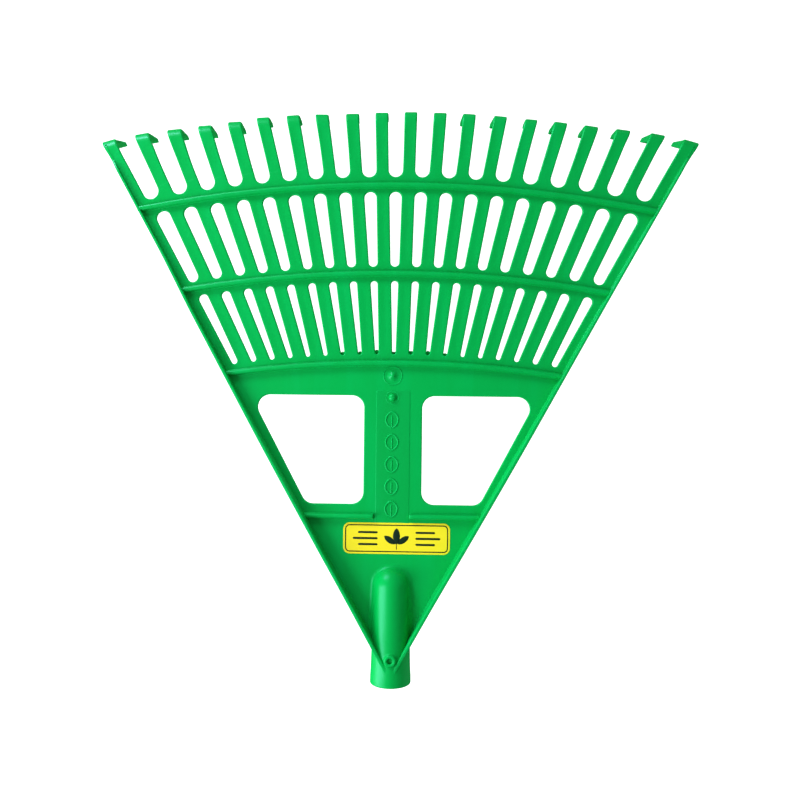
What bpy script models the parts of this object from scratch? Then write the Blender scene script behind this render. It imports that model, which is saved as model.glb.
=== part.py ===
"""Head of an injection-moulded plastic lawn rake.

The head lies face up: +Z comes out of the ribbed face, +Y runs from the handle socket to the tine tips and +X is to the
right. The origin is the centre of the flat blind end of the handle socket, where the end of a handle seats.

The real head is one moulding with a label on it. Here the moulding is divided along its own features into members
(webs, bars, bands, ribs, flanges, socket and tines), with a small gap between neighbours, and every free tine is its
own member that turns at its root, where the plastic bends.

Shapes are worked out in the fan frame, in millimetres: x and y as above, measured from the fan apex, the point where
the centrelines of all the bars cross. `row` carries a fan point to the model's frame.
"""

import math

import bmesh
import bpy
import numpy as np
from mathutils import Vector

for old in list(bpy.data.objects):
    bpy.data.objects.remove(old, do_unlink=True)
for old in list(bpy.data.materials):
    bpy.data.materials.remove(old)

# ---------------------------------------------------------------- driving dimensions, in millimetres and degrees
MM = 0.001
SEAT_Y = 71.0  # fan apex to the blind end of the socket bore
GAP = 0.3  # clearance between neighbouring members

TINES = 20
PITCH = 3.0  # angle between neighbouring bars
BAR_W = 9.5
PLATE_T = 2.8
TOP = PLATE_T / 2  # the plate lies at the mid-plane of the socket tube

ARC_Y = -645.0  # centre of every arc across the fan
TIP_R = 1080.6  # outer faces of the tines
U_R = 1029.0  # bottoms of the open gaps between the free tines
OUTER_RIB_R = 1022.3
SLOT2_TOP_R, SLOT2_BOTTOM_R = 1017.8, 960.2
MIDDLE_RIB_R = 954.7
SLOT3_TOP_R, SLOT3_BOTTOM_R = 949.2, 893.0
INNER_RIB_R = 886.2
RIB_W, RIB_H = 3.2, 3.5

EDGE_SLOPE = math.tan(math.radians(29.25))  # outer edge of the head, x = EDGE_SLOPE * y + EDGE_X
EDGE_X = -0.2
WINDOW_SLOPE, WINDOW_X = 0.528, -3.4  # slanted edge of each window
WINDOW_BOTTOM, WINDOW_TOP = 132.6, 216.1
WINDOW_INNER = 22.3
WINDOW_R = 9.5
LEG_LOW, LEG_HIGH = 145.0, 203.0  # where the struts and the spine meet the two webs

SHOULDER_RIB_Y = 123.6
SHOULDER_RIB_INNER = 13.0

FLANGE_W = 2.3
FLANGE_H = 13.4  # above the plate at the socket
FLANGE_FULL_Y = 24.0  # below this the top edge is level
FLANGE_RISE_Y, FLANGE_RISE_H = 386.0, 3.0  # where the top edge turns down, and its height there
FLANGE_END_Y = 403.0  # where the top edge comes down to the plate
FLANGE_FOOT_Y = 8.6  # foot of the flange, on top of the socket

MOUTH_Y = -4.0
SOCKET_OUTER = ((-4.0, 15.1), (-3.4, 15.6), (2.0, 15.55), (8.0, 15.1), (17.0, 14.9), (70.8, 13.6))
DOME_Y, DOME_R = 70.8, 13.6
BORE_MOUTH_R, BORE_END_R = 12.9, 11.6
BOSS_Y, BOSS_R, BOSS_TOP, BOSS_HOLE_R = 17.0, 4.4, 16.4, 2.2
BOSS_HOLE_DEPTH = 2.2  # a blind pilot for the screw

LABEL_X, LABEL_Y, LABEL_HALF_X, LABEL_HALF_Y, LABEL_R, LABEL_T = 3.6, 106.7, 41.0, 12.0, 5.0, 0.4

HOOK_DEPTH = 32.0  # from the underside of the plate to the tip
HOOK_LEAN = 6.7  # how far further out the tip is than the bend
HOOK_ROOT_T, HOOK_TIP_T = 7.6, 3.3
HOOK_TIP_W = 5.2
BEND_R = 5.6
SKEW = 0.55  # the outer edge of a tine turns by this share of the tine's own angle
LEAN_TURN = -0.2  # the hook leans along a line turned by this share of the tine's angle


# ---------------------------------------------------------------- plan geometry
def bar_angle(k):
    """Angle from +Y, in radians, of bar or tine k, counted from 1 at the left."""
    return math.radians((k - (TINES + 1) / 2) * PITCH)


def gap_angle(k):
    """Angle of the gap between bars k and k + 1."""
    return math.radians((k - TINES / 2) * PITCH)


def along(angle):
    return np.array([math.sin(angle), math.cos(angle)])


def right_of(angle):
    return np.array([math.cos(angle), -math.sin(angle)])


def reach(angle, radius):
    """Distance from the apex, along this angle, to the arc of this radius about (0, ARC_Y)."""
    b = -ARC_Y * math.cos(angle)
    return -b + math.sqrt(b * b + radius * radius - ARC_Y * ARC_Y)


HALF = math.radians(PITCH / 2)


def slot_end(k, radius, far):
    """Centre distance and radius of the round end of gap k whose extreme point lies on the arc. far: the end nearer the tips."""
    s = reach(gap_angle(k), radius)
    sign = 1.0 if far else -1.0
    r = (s * math.sin(HALF) - BAR_W / 2) / (1 + sign * math.sin(HALF))
    return s - sign * r, r


def slot_points(k, radius, far, steps=8):
    """The round end of gap k, from the edge of bar k to the edge of bar k + 1."""
    s, r = slot_end(k, radius, far)
    g = gap_angle(k)
    centre = s * along(g)
    # The tangent points face the two bars, which are turned half a pitch either way.
    start, stop = -math.pi / 2 - HALF, math.pi / 2 + HALF
    if not far:
        start, stop = -math.pi / 2 - HALF, -3 * math.pi / 2 + HALF
    out = []
    for i in range(steps + 1):
        t = g + start + (stop - start) * i / steps
        out.append(centre + r * along(t))
    return out


def bar_cut(k, radius, far, margin=0.9):
    """Distance along bar k at which it is cut square, just clear of the round ends beside it."""
    found = []
    for g in (k - 1, k):
        if 1 <= g <= TINES - 1:
            s, r = slot_end(g, radius, far)
            found.append(s * math.cos(HALF))
    return min(found) - margin if far else max(found) + margin


def bar_corner(k, s, side):
    """The point at distance s along bar k on its left (-1) or right (+1) edge. The outer edges of bars 1 and 20 are the edge of the head."""
    a = bar_angle(k)
    if (k, side) in ((1, -1), (TINES, 1)):
        # along s * d + t * n until |x| = EDGE_SLOPE * y + EDGE_X
        p, n = s * along(a), right_of(a) * side
        t = (EDGE_SLOPE * p[1] + EDGE_X - abs(p[0])) / (abs(n[0]) - EDGE_SLOPE * n[1])
        return p + t * n
    return s * along(a) + side * BAR_W / 2 * right_of(a)


def edge_x(y):
    return EDGE_SLOPE * y + EDGE_X


def window_x(y):
    return WINDOW_SLOPE * y + WINDOW_X


def fillet(before, corner, after, radius, steps=6):
    """Points of the arc that rounds a corner."""
    before, corner, after = (np.array(p, float) for p in (before, corner, after))
    u = (before - corner) / np.linalg.norm(before - corner)
    v = (after - corner) / np.linalg.norm(after - corner)
    half = math.acos(float(np.clip(u @ v, -1, 1))) / 2
    cut = radius / math.tan(half)
    centre = corner + (u + v) / np.linalg.norm(u + v) * radius / math.sin(half)
    a, b = corner + u * cut - centre, corner + v * cut - centre
    total = math.acos(float(np.clip(a @ b / radius**2, -1, 1)))
    out = []
    for i in range(steps + 1):
        t = i / steps
        p = (math.sin((1 - t) * total) * a + math.sin(t * total) * b) / math.sin(total)
        out.append(centre + p)
    return out


def mirror(points):
    return [np.array([-p[0], p[1]]) for p in reversed(points)]


# ---------------------------------------------------------------- solids
def row(p, z=0.0):
    """A fan point and a height, in millimetres, as a point of the model in metres."""
    return Vector((p[0] * MM, (p[1] - SEAT_Y) * MM, z * MM))


def material(name, colour, roughness):
    m = bpy.data.materials.new(name)
    m.use_nodes = True
    shader = m.node_tree.nodes["Principled BSDF"]
    shader.inputs["Base Color"].default_value = (*colour, 1.0)
    shader.inputs["Roughness"].default_value = roughness
    return m


GREEN = material("green_polypropylene", (0.004, 0.41, 0.09), 0.42)
FILM = material("label_film", (0.93, 0.86, 0.62), 0.3)


def solid(name, bm, mat=GREEN, origin=None):
    """Links the finished mesh as an object whose own origin is at `origin`."""
    bmesh.ops.recalc_face_normals(bm, faces=bm.faces)
    mesh = bpy.data.meshes.new(name)
    if origin is not None:
        bmesh.ops.translate(bm, verts=bm.verts, vec=-origin)
    bm.to_mesh(mesh)
    bm.free()
    obj = bpy.data.objects.new(name, mesh)
    if origin is not None:
        obj.location = origin
    mesh.materials.append(mat)
    bpy.context.scene.collection.objects.link(obj)
    return obj


def prism(outline, low, high):
    """A plate with this outline between two heights. high may be a function of the point."""
    bm = bmesh.new()
    lower = [bm.verts.new(row(p, low)) for p in outline]
    upper = [bm.verts.new(row(p, high(p) if callable(high) else high)) for p in outline]
    n = len(outline)
    bm.faces.new(lower)
    bm.faces.new(upper)
    for i in range(n):
        bm.faces.new((lower[i], lower[(i + 1) % n], upper[(i + 1) % n], upper[i]))
    return bm


def plate(name, outline, low=-TOP, high=TOP, mat=GREEN):
    return solid(name, prism(outline, low, high), mat)


def turned(profile, segments, close=False):
    """A body turned about the Y axis through the socket. profile: (y, r) from one end to the other; r = 0 is on the axis."""
    bm = bmesh.new()
    rings = []
    for y, r in profile:
        if r <= 0:
            rings.append([bm.verts.new(row((0.0, y)))])
            continue
        ring = []
        for i in range(segments):
            t = 2 * math.pi * (i + 0.5) / segments
            ring.append(bm.verts.new(row((r * math.cos(t), y), r * math.sin(t))))
        rings.append(ring)
    for a, b in zip(rings, rings[1:]):
        for i in range(segments):
            j = (i + 1) % segments
            if len(a) == 1:
                bm.faces.new((a[0], b[i], b[j]))
            elif len(b) == 1:
                bm.faces.new((a[i], a[j], b[0]))
            else:
                bm.faces.new((a[i], a[j], b[j], b[i]))
    if close:
        bm.faces.new(rings[0])
        bm.faces.new(rings[-1])
    return bm


def rod(centre, radius, low, high, segments):
    outline = [
        np.array(centre)
        + radius * np.array([math.cos(2 * math.pi * i / segments), math.sin(2 * math.pi * i / segments)])
        for i in range(segments)
    ]
    return prism(outline, low, high)


def cutter(name, bm):
    obj = solid(name, bm)
    obj.hide_render = True
    obj.display_type = "WIRE"
    return obj


def boolean(obj, other, operation):
    mod = obj.modifiers.new(operation.lower(), "BOOLEAN")
    mod.operation = operation
    mod.solver = "EXACT"
    mod.object = other


# ---------------------------------------------------------------- handle socket
def socket_radius(y):
    if y > DOME_Y:
        return math.sqrt(max(DOME_R**2 - (y - DOME_Y) ** 2, 0.0))
    ys = [p[0] for p in SOCKET_OUTER]
    rs = [p[1] for p in SOCKET_OUTER]
    return float(np.interp(y, ys, rs))


def socket_profile(grow=0.0):
    out = [(y, r + grow) for y, r in SOCKET_OUTER]
    for i in range(1, 8):
        t = math.pi / 2 * i / 8
        out.append((DOME_Y + (DOME_R + grow) * math.sin(t), (DOME_R + grow) * math.cos(t)))
    out.append((DOME_Y + DOME_R + grow, 0.0))
    return out


SEGMENTS = 48
bore = [(MOUTH_Y, BORE_MOUTH_R + 0.5), (MOUTH_Y + 0.6, BORE_MOUTH_R), (SEAT_Y, BORE_END_R), (SEAT_Y, 0.0)]
socket = solid("handle_socket", turned(list(reversed(socket_profile())) + bore, SEGMENTS))
boss = cutter("boss_blank", rod((0.0, BOSS_Y), BOSS_R, socket_radius(BOSS_Y) - 1.6, BOSS_TOP, 24))
drill = cutter("boss_drill", rod((0.0, BOSS_Y), BOSS_HOLE_R, BOSS_TOP - BOSS_HOLE_DEPTH, BOSS_TOP + 3.0, 20))
boolean(socket, boss, "UNION")
boolean(socket, drill, "DIFFERENCE")

# ---------------------------------------------------------------- shoulder web, struts, spine
# One window corner at a time, for the right-hand window, going round the opening.
low_outer = fillet(
    (window_x(WINDOW_BOTTOM + 40), WINDOW_BOTTOM + 40),
    (window_x(WINDOW_BOTTOM), WINDOW_BOTTOM),
    (WINDOW_INNER, WINDOW_BOTTOM),
    WINDOW_R,
)
low_inner = fillet(
    (window_x(WINDOW_BOTTOM), WINDOW_BOTTOM), (WINDOW_INNER, WINDOW_BOTTOM), (WINDOW_INNER, WINDOW_TOP), WINDOW_R
)
high_inner = fillet(
    (WINDOW_INNER, WINDOW_BOTTOM), (WINDOW_INNER, WINDOW_TOP), (window_x(WINDOW_TOP), WINDOW_TOP), WINDOW_R
)
high_outer = fillet(
    (WINDOW_INNER, WINDOW_TOP),
    (window_x(WINDOW_TOP), WINDOW_TOP),
    (window_x(WINDOW_TOP - 40), WINDOW_TOP - 40),
    WINDOW_R,
)


def clear_of_socket(steps=10):
    """Right half of the cut-out round the socket, from the head's edge up to the tip of the dome."""
    out, y = [], MOUTH_Y
    while edge_x(y) < socket_radius(y) + GAP:
        y += 0.05
    low = y
    for i in range(steps + 1):
        y = low + (DOME_Y - low) * i / steps
        out.append(np.array([socket_radius(y) + GAP, y]))
    for i in range(1, 9):
        t = math.pi / 2 * i / 8
        out.append(np.array([(DOME_R + GAP) * math.cos(t), DOME_Y + (DOME_R + GAP) * math.sin(t)]))
    return out


half = (
    [np.array([edge_x(LEG_LOW), LEG_LOW]), np.array([window_x(LEG_LOW), LEG_LOW])]
    + low_outer
    + low_inner
    + [np.array([WINDOW_INNER, LEG_LOW])]
)
round_socket = clear_of_socket()
around_left = [np.array([-p[0], p[1]]) for p in round_socket]
plate("shoulder_web", half + mirror(half) + around_left + list(reversed(round_socket))[1:])

spine = [(-1, LEG_LOW), (1, LEG_LOW), (1, LEG_HIGH), (-1, LEG_HIGH)]
plate(
    "centre_spine",
    [np.array([x * WINDOW_INNER, y + (GAP if y == LEG_LOW else -GAP)]) for x, y in spine],
)
for side, name in ((-1, "left_strut"), (1, "right_strut")):
    low, high = LEG_LOW + GAP, LEG_HIGH - GAP
    plate(
        name,
        [
            np.array([side * window_x(low), low]),
            np.array([side * edge_x(low), low]),
            np.array([side * edge_x(high), high]),
            np.array([side * window_x(high), high]),
        ],
    )

# ---------------------------------------------------------------- bridge web, below the three rows
top = []
for k in range(1, TINES + 1):
    s = bar_cut(k, SLOT3_BOTTOM_R, False) - GAP / 2
    top += [bar_corner(k, s, -1), bar_corner(k, s, 1)]
    if k < TINES:
        top += slot_points(k, SLOT3_BOTTOM_R, False)
legs = (
    [np.array([edge_x(LEG_HIGH), LEG_HIGH]), np.array([window_x(LEG_HIGH), LEG_HIGH])]
    + list(reversed(high_outer))
    + list(reversed(high_inner))
    + [np.array([WINDOW_INNER, LEG_HIGH])]
)
plate("bridge_web", top + legs + mirror(legs))


# ---------------------------------------------------------------- radial bars of the two slotted rows
def ear(k, side):
    """One side of bar k through the middle band: the far end of a row 3 slot, then the near end of a row 2 slot, each as far as the middle of the gap."""
    g = k if side > 0 else k - 1
    lower = slot_points(g, SLOT3_TOP_R, True)
    upper = slot_points(g, SLOT2_BOTTOM_R, False)
    mid = len(lower) // 2
    shift = -side * GAP / 2 * right_of(gap_angle(g))
    if side > 0:
        lower, upper = lower[: mid + 1], list(reversed(upper[: mid + 1]))
    else:
        lower, upper = list(reversed(lower[mid:])), upper[mid:]
    lower[-1] = lower[-1] + shift
    upper[0] = upper[0] + shift
    return lower + upper


NAMES = {k: f"radial_bar_{k:02d}" for k in range(2, TINES)}
NAMES[1], NAMES[TINES] = "left_rail", "right_rail"
for k in range(1, TINES + 1):
    low = bar_cut(k, SLOT3_BOTTOM_R, False) + GAP / 2
    high = bar_cut(k, SLOT2_TOP_R, True) - GAP / 2
    right = [bar_corner(k, low, 1)] + (ear(k, 1) if k < TINES else []) + [bar_corner(k, high, 1)]
    left = [bar_corner(k, low, -1)] + (ear(k, -1) if k > 1 else []) + [bar_corner(k, high, -1)]
    plate(NAMES[k], right + list(reversed(left)))


# ---------------------------------------------------------------- outer band, with the roots of the free tines
def hinge_at(k):
    """Distance along tine k of the line about which it bends."""
    return bar_cut(k, U_R, False, 1.2) + GAP + PLATE_T / 2


def half_round(g, radius, far, side):
    """The half of the round end of gap g that lies on its left (-1) or right (+1) side, stopping half a clearance short of the gap's middle."""
    points = slot_points(g, radius, far)
    mid = len(points) // 2
    points[mid] = points[mid] + side * GAP / 2 * right_of(gap_angle(g))
    return points[: mid + 1] if side < 0 else points[mid:]


# The band is divided in the middle of a gap after every fifth tine.
BAND_PARTS = ("outer_band_left", "outer_band_mid_left", "outer_band_mid_right", "outer_band_right")
SHARE = TINES // len(BAND_PARTS)
for part, name in enumerate(BAND_PARTS):
    first, last = part * SHARE + 1, (part + 1) * SHARE
    near, far = [], []
    if first > 1:
        near += half_round(first - 1, SLOT2_TOP_R, True, 1)
        far += half_round(first - 1, U_R, False, 1)
    for k in range(first, last + 1):
        s = bar_cut(k, SLOT2_TOP_R, True) + GAP / 2
        near += [bar_corner(k, s, -1), bar_corner(k, s, 1)]
        s = hinge_at(k) - GAP - PLATE_T / 2
        far += [bar_corner(k, s, -1), bar_corner(k, s, 1)]
        if k < last:
            near += slot_points(k, SLOT2_TOP_R, True)
            far += slot_points(k, U_R, False)
    if last < TINES:
        near += half_round(last, SLOT2_TOP_R, True, -1)
        far += half_round(last, U_R, False, -1)
    plate(name, near + list(reversed(far)))


# ---------------------------------------------------------------- ribs and side flanges
def flange_top(y):
    ys = (FLANGE_FULL_Y, FLANGE_RISE_Y, FLANGE_END_Y)
    return TOP + float(np.interp(y, ys, (FLANGE_H, FLANGE_RISE_H, 0.0)))


def inside_edge(y):
    """x of the inner face of the right-hand flange."""
    return edge_x(y) - FLANGE_W * math.sqrt(1 + EDGE_SLOPE**2)


def arc_rib(name, radius, steps=24):
    """A rib along an arc, from one flange to the other."""
    centre = np.array([0.0, ARC_Y])

    def stop(r):
        low, high = 0.0, math.radians(20)
        for _ in range(50):
            mid = (low + high) / 2
            p = centre + r * along(mid)
            low, high = (mid, high) if p[0] < inside_edge(p[1]) - GAP else (low, mid)
        return low

    lines = []
    for r in (radius - RIB_W / 2, radius + RIB_W / 2):
        end = stop(r)
        lines.append([centre + r * along(-end + 2 * end * i / steps) for i in range(steps + 1)])
    plate(name, lines[0] + list(reversed(lines[1])), TOP + GAP, TOP + RIB_H)


arc_rib("inner_arc_rib", INNER_RIB_R)
arc_rib("middle_arc_rib", MIDDLE_RIB_R)
arc_rib("outer_arc_rib", OUTER_RIB_R)

for side, name in ((-1, "left_shoulder_rib"), (1, "right_shoulder_rib")):
    low, high = SHOULDER_RIB_Y - RIB_W / 2, SHOULDER_RIB_Y + RIB_W / 2
    plate(
        name,
        [
            np.array([side * SHOULDER_RIB_INNER, low]),
            np.array([side * (inside_edge(low) - GAP), low]),
            np.array([side * (inside_edge(high) - GAP), high]),
            np.array([side * SHOULDER_RIB_INNER, high]),
        ],
        TOP + GAP,
        TOP + RIB_H,
    )

flange_stop = bar_corner(1, hinge_at(1) - GAP - PLATE_T / 2, -1)[1]
for side, name in ((-1, "left_flange"), (1, "right_flange")):
    ys = [FLANGE_FOOT_Y, FLANGE_FULL_Y, flange_stop]
    outer = [np.array([side * edge_x(y), y]) for y in ys]
    inner = [np.array([side * inside_edge(y), y]) for y in reversed(ys)]
    wall = solid(name, prism(outer + inner, TOP + GAP, lambda p: flange_top(p[1])))
    shape = [(MOUTH_Y - 6, 0.0), (MOUTH_Y - 6, socket_radius(0) + GAP)] + socket_profile(GAP)[2:]
    void = cutter(name + "_relief", turned(shape, SEGMENTS))
    boolean(wall, void, "DIFFERENCE")

# ---------------------------------------------------------------- label
corners = [(-1, -1), (1, -1), (1, 1), (-1, 1)]
box = [np.array([LABEL_X + a * LABEL_HALF_X, LABEL_Y + b * LABEL_HALF_Y]) for a, b in corners]
outline = []
for i in range(4):
    outline += fillet(box[i - 1], box[i], box[(i + 1) % 4], LABEL_R, 5)
plate("label", outline, TOP + GAP, TOP + GAP + LABEL_T, FILM)


# ---------------------------------------------------------------- free tines
def tine_profile():
    """(kind, outer u, outer z, inner u, inner z) down the tine. u runs outwards, from the hinge line in a root row and from the outer face in the others."""
    rows = []
    r = PLATE_T / 2
    for t in (22, 45, 67, 90):
        c, s = math.cos(math.radians(t)), math.sin(math.radians(t))
        rows.append(("root", -r * c, r * s, -r * c, -r * s))
    # the bend: the outer side is a round of BEND_R, the inner side a tighter one
    inner_r = 2.2
    for i in range(0, 6):
        t = math.pi / 2 * i / 5
        out_u, out_z = -BEND_R + BEND_R * math.sin(t), TOP - BEND_R + BEND_R * math.cos(t)
        in_u = -HOOK_ROOT_T - inner_r + inner_r * math.sin(t)
        in_z = -TOP - inner_r + inner_r * math.cos(t)
        rows.append(("end", out_u, out_z, in_u, in_z))
    rows.append(("tip", 0.0, -TOP - HOOK_DEPTH, -HOOK_TIP_T, -TOP - HOOK_DEPTH))
    return rows


def tine(k):
    a = bar_angle(k)
    d, n = along(a), right_of(a)
    edge = right_of(a * SKEW)
    lean = along(a * LEAN_TURN)
    root, end = hinge_at(k), reach(a, TIP_R)
    bm = bmesh.new()
    rings = []
    depth0 = -(TOP - BEND_R)
    span = TOP + HOOK_DEPTH - depth0
    for kind, ou, oz, iu, iz in tine_profile():
        ring = []
        for u, z, order in ((ou, oz, (-1, 1)), (iu, iz, (1, -1))):
            if kind == "root":
                p, across = (root + u) * d, n * BAR_W / 2
            else:
                p = (end + u) * d
                drop = max(-z - depth0, 0.0) / span
                half_w = BAR_W / 2 + (HOOK_TIP_W - BAR_W) / 2 * drop
                across = edge * half_w / float(edge @ n)
                p = p + lean * HOOK_LEAN * drop
            for sgn in order:
                ring.append(bm.verts.new(row(p + sgn * across, z)))
        rings.append(ring)
    bm.faces.new(rings[0])
    bm.faces.new(rings[-1])
    for x, y in zip(rings, rings[1:]):
        for i in range(4):
            bm.faces.new((x[i], x[(i + 1) % 4], y[(i + 1) % 4], y[i]))
    obj = solid(f"tine_{k:02d}", bm, GREEN, row(root * d))
    if k not in (1, TINES):
        return
    # The outermost tines carry the end of the side flange on their outer edges.
    side = -1 if k == 1 else 1
    us = [0.6, *(u for u in ((FLANGE_RISE_Y / math.cos(a)) - root,) if u > 0.6), (FLANGE_END_Y - 1.0) / math.cos(a) - root]
    wide = BAR_W / 2 - 0.05
    outer = [(root + u) * d + side * wide * n for u in us]
    inner = [(root + u) * d + side * (wide - FLANGE_W) * n for u in reversed(us)]
    rise = cutter(obj.name + "_flange", prism(outer + inner, 0.0, lambda p: max(flange_top(p[1]), TOP + 0.2)))
    boolean(obj, rise, "UNION")


for k in range(1, TINES + 1):
    tine(k)
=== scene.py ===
"""Looks of the lawn rake head: the fine surfaces, materials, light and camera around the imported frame.

Plan shapes are worked out in the fan frame, in millimetres: x to the right and y towards the tine tips, measured from
the fan apex. `to_row` carries them to the frame's metres.
"""

import math

import bmesh
import bpy
import numpy as np
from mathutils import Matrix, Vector
from mathutils.geometry import delaunay_2d_cdt


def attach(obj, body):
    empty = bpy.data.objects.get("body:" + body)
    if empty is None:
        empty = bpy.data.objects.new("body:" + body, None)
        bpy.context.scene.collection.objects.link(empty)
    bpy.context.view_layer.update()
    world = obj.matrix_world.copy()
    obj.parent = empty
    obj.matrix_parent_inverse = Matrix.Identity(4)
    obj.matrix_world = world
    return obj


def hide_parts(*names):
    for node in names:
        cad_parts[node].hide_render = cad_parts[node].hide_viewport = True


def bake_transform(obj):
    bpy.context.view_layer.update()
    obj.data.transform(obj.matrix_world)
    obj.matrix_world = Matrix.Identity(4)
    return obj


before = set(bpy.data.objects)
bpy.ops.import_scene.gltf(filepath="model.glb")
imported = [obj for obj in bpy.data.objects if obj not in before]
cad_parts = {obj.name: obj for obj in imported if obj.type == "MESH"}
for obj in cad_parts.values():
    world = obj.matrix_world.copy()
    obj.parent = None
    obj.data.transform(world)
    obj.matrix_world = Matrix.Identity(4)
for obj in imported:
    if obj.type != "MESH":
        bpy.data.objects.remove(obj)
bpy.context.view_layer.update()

# ---------------------------------------------------------------- dimensions, as in the CAD source (mm, degrees)
SEAT_Y = 71.0
TINES, PITCH, BAR_W, PLATE_T = 20, 3.0, 9.5, 2.8
TOP = PLATE_T / 2
ARC_Y, TIP_R, U_R = -645.0, 1080.6, 1029.0
OUTER_RIB_R, MIDDLE_RIB_R, INNER_RIB_R = 1022.3, 954.7, 886.2
SLOT2_TOP_R, SLOT2_BOTTOM_R, SLOT3_TOP_R, SLOT3_BOTTOM_R = 1017.8, 960.2, 949.2, 893.0
RIB_W, RIB_H = 3.2, 3.5
EDGE_SLOPE, EDGE_X = math.tan(math.radians(29.25)), -0.2
WINDOW_SLOPE, WINDOW_X = 0.528, -3.4
WINDOW_BOTTOM, WINDOW_TOP, WINDOW_INNER, WINDOW_R = 132.6, 216.1, 22.3, 9.5
SHOULDER_RIB_Y, SHOULDER_RIB_INNER = 123.6, 13.0
FLANGE_W, FLANGE_H, FLANGE_FULL_Y, FLANGE_RISE_Y, FLANGE_RISE_H = 2.3, 13.4, 24.0, 386.0, 3.0
SOCKET_OUTER = ((-4.0, 15.1), (-3.4, 15.6), (2.0, 15.55), (8.0, 15.1), (17.0, 14.9), (70.8, 13.6))
MOUTH_Y, DOME_Y, DOME_R = -4.0, 70.8, 13.6
BORE_MOUTH_R, BORE_END_R = 12.9, 11.6
BOSS_Y, BOSS_R, BOSS_TOP, BOSS_HOLE_R, BOSS_HOLE_DEPTH = 17.0, 4.4, 16.4, 2.2, 2.2
LABEL_X, LABEL_Y, LABEL_HALF_X, LABEL_HALF_Y, LABEL_R, LABEL_T = 3.6, 106.7, 41.0, 12.0, 5.0, 0.4
HOOK_DEPTH, HOOK_LEAN, HOOK_ROOT_T, HOOK_TIP_T, HOOK_TIP_W, BEND_R = 32.0, 6.7, 7.8, 4.0, 5.6, 8.5
SKEW, LEAN_TURN = 0.7, -0.2

# rounding of the moulded edges: how far it reaches over the face, and how far down the side
TOP_IN, TOP_DOWN = 0.9, 0.75
UNDER_IN, UNDER_DOWN = 0.7, 0.55
EDGE_TUCK = 1.5  # and the left one comes in a little beside the outer rows
EDGE_BOW = 1.1  # the sprung plate's outer edges bow out a little between socket and fan
SLOT_PINCH = {3: 0.95, 2: 0.45}  # the slots of a row are narrower towards the middle of the head, mm
SKIN = 0.03  # how far a member stands inside or outside the one it runs into

HALF = math.radians(PITCH / 2)


# ---------------------------------------------------------------- plan geometry
def bar_angle(k):
    return math.radians((k - (TINES + 1) / 2) * PITCH)


def gap_angle(k):
    return math.radians((k - TINES / 2) * PITCH)


def along(a):
    return np.array([math.sin(a), math.cos(a)])


def right_of(a):
    return np.array([math.cos(a), -math.sin(a)])


def reach(a, radius):
    b = -ARC_Y * math.cos(a)
    return -b + math.sqrt(b * b + radius * radius - ARC_Y * ARC_Y)


def slot_end(k, radius, far, pinch=0.0):
    s = reach(gap_angle(k), radius)
    sign = 1.0 if far else -1.0
    r = (s * math.sin(HALF) - (BAR_W + pinch) / 2) / (1 + sign * math.sin(HALF))
    return s - sign * r, r


def slot_points(k, radius, far, steps=20, pinch=0.0):
    """Round end of gap k, from the edge of bar k to the edge of bar k + 1."""
    s, r = slot_end(k, radius, far, pinch)
    g = gap_angle(k)
    start, stop = -math.pi / 2 - HALF, math.pi / 2 + HALF
    if not far:
        start, stop = -math.pi / 2 - HALF, -3 * math.pi / 2 + HALF
    return [s * along(g) + r * along(g + start + (stop - start) * i / steps) for i in range(steps + 1)]


def bar_cut(k, radius, far, margin=0.9):
    found = []
    for g in (k - 1, k):
        if 1 <= g <= TINES - 1:
            s, r = slot_end(g, radius, far)
            found.append(s * math.cos(HALF))
    return min(found) - margin if far else max(found) + margin


def edge_x(y, side=1):
    bow = math.exp(-(((y - 168.0) / 92.0) ** 2)) * smooth_step((y - 40.0) / 60.0)
    tuck = EDGE_TUCK * smooth_step((y - 270.0) / 60.0) if side < 0 else 0.0
    return EDGE_SLOPE * y + EDGE_X + EDGE_BOW * bow - tuck


def window_x(y):
    return WINDOW_SLOPE * y + WINDOW_X


def edge_offset(k, s):
    """Distance from the centreline of bar 1 or 20 to the outer edge of the head, square to the bar, at distance s."""
    a = bar_angle(k)
    side = -1 if k == 1 else 1
    p, n = s * along(a), right_of(a) * side
    shift = edge_x(p[1] - 4.0, side) - EDGE_SLOPE * (p[1] - 4.0)
    return (EDGE_SLOPE * p[1] + shift - abs(p[0])) / (abs(n[0]) - EDGE_SLOPE * n[1])


def bar_corner(k, s, side):
    a = bar_angle(k)
    wide = edge_offset(k, s) if (k, side) in ((1, -1), (TINES, 1)) else BAR_W / 2
    return s * along(a) + side * wide * right_of(a)


def fillet(before, corner, after, radius, steps=14):
    before, corner, after = (np.array(p, float) for p in (before, corner, after))
    u = (before - corner) / np.linalg.norm(before - corner)
    v = (after - corner) / np.linalg.norm(after - corner)
    half = math.acos(float(np.clip(u @ v, -1, 1))) / 2
    cut = radius / math.tan(half)
    centre = corner + (u + v) / np.linalg.norm(u + v) * radius / math.sin(half)
    a, b = corner + u * cut - centre, corner + v * cut - centre
    total = math.acos(float(np.clip(a @ b / radius**2, -1, 1)))
    return [
        centre + (math.sin((1 - t) * total) * a + math.sin(t * total) * b) / math.sin(total)
        for t in (i / steps for i in range(steps + 1))
    ]


def stub_end(k):
    return bar_cut(k, U_R, False, 1.2)


def flange_top(y):
    return TOP + float(np.interp(y, (FLANGE_FULL_Y, FLANGE_RISE_Y), (FLANGE_H, FLANGE_RISE_H)))


def inside_edge(y):
    return edge_x(y) - FLANGE_W * math.sqrt(1 + EDGE_SLOPE**2)


def socket_radius(y):
    if y > DOME_Y:
        return math.sqrt(max(DOME_R**2 - (y - DOME_Y) ** 2, 0.0))
    return float(np.interp(y, [p[0] for p in SOCKET_OUTER], [p[1] for p in SOCKET_OUTER]))


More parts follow.
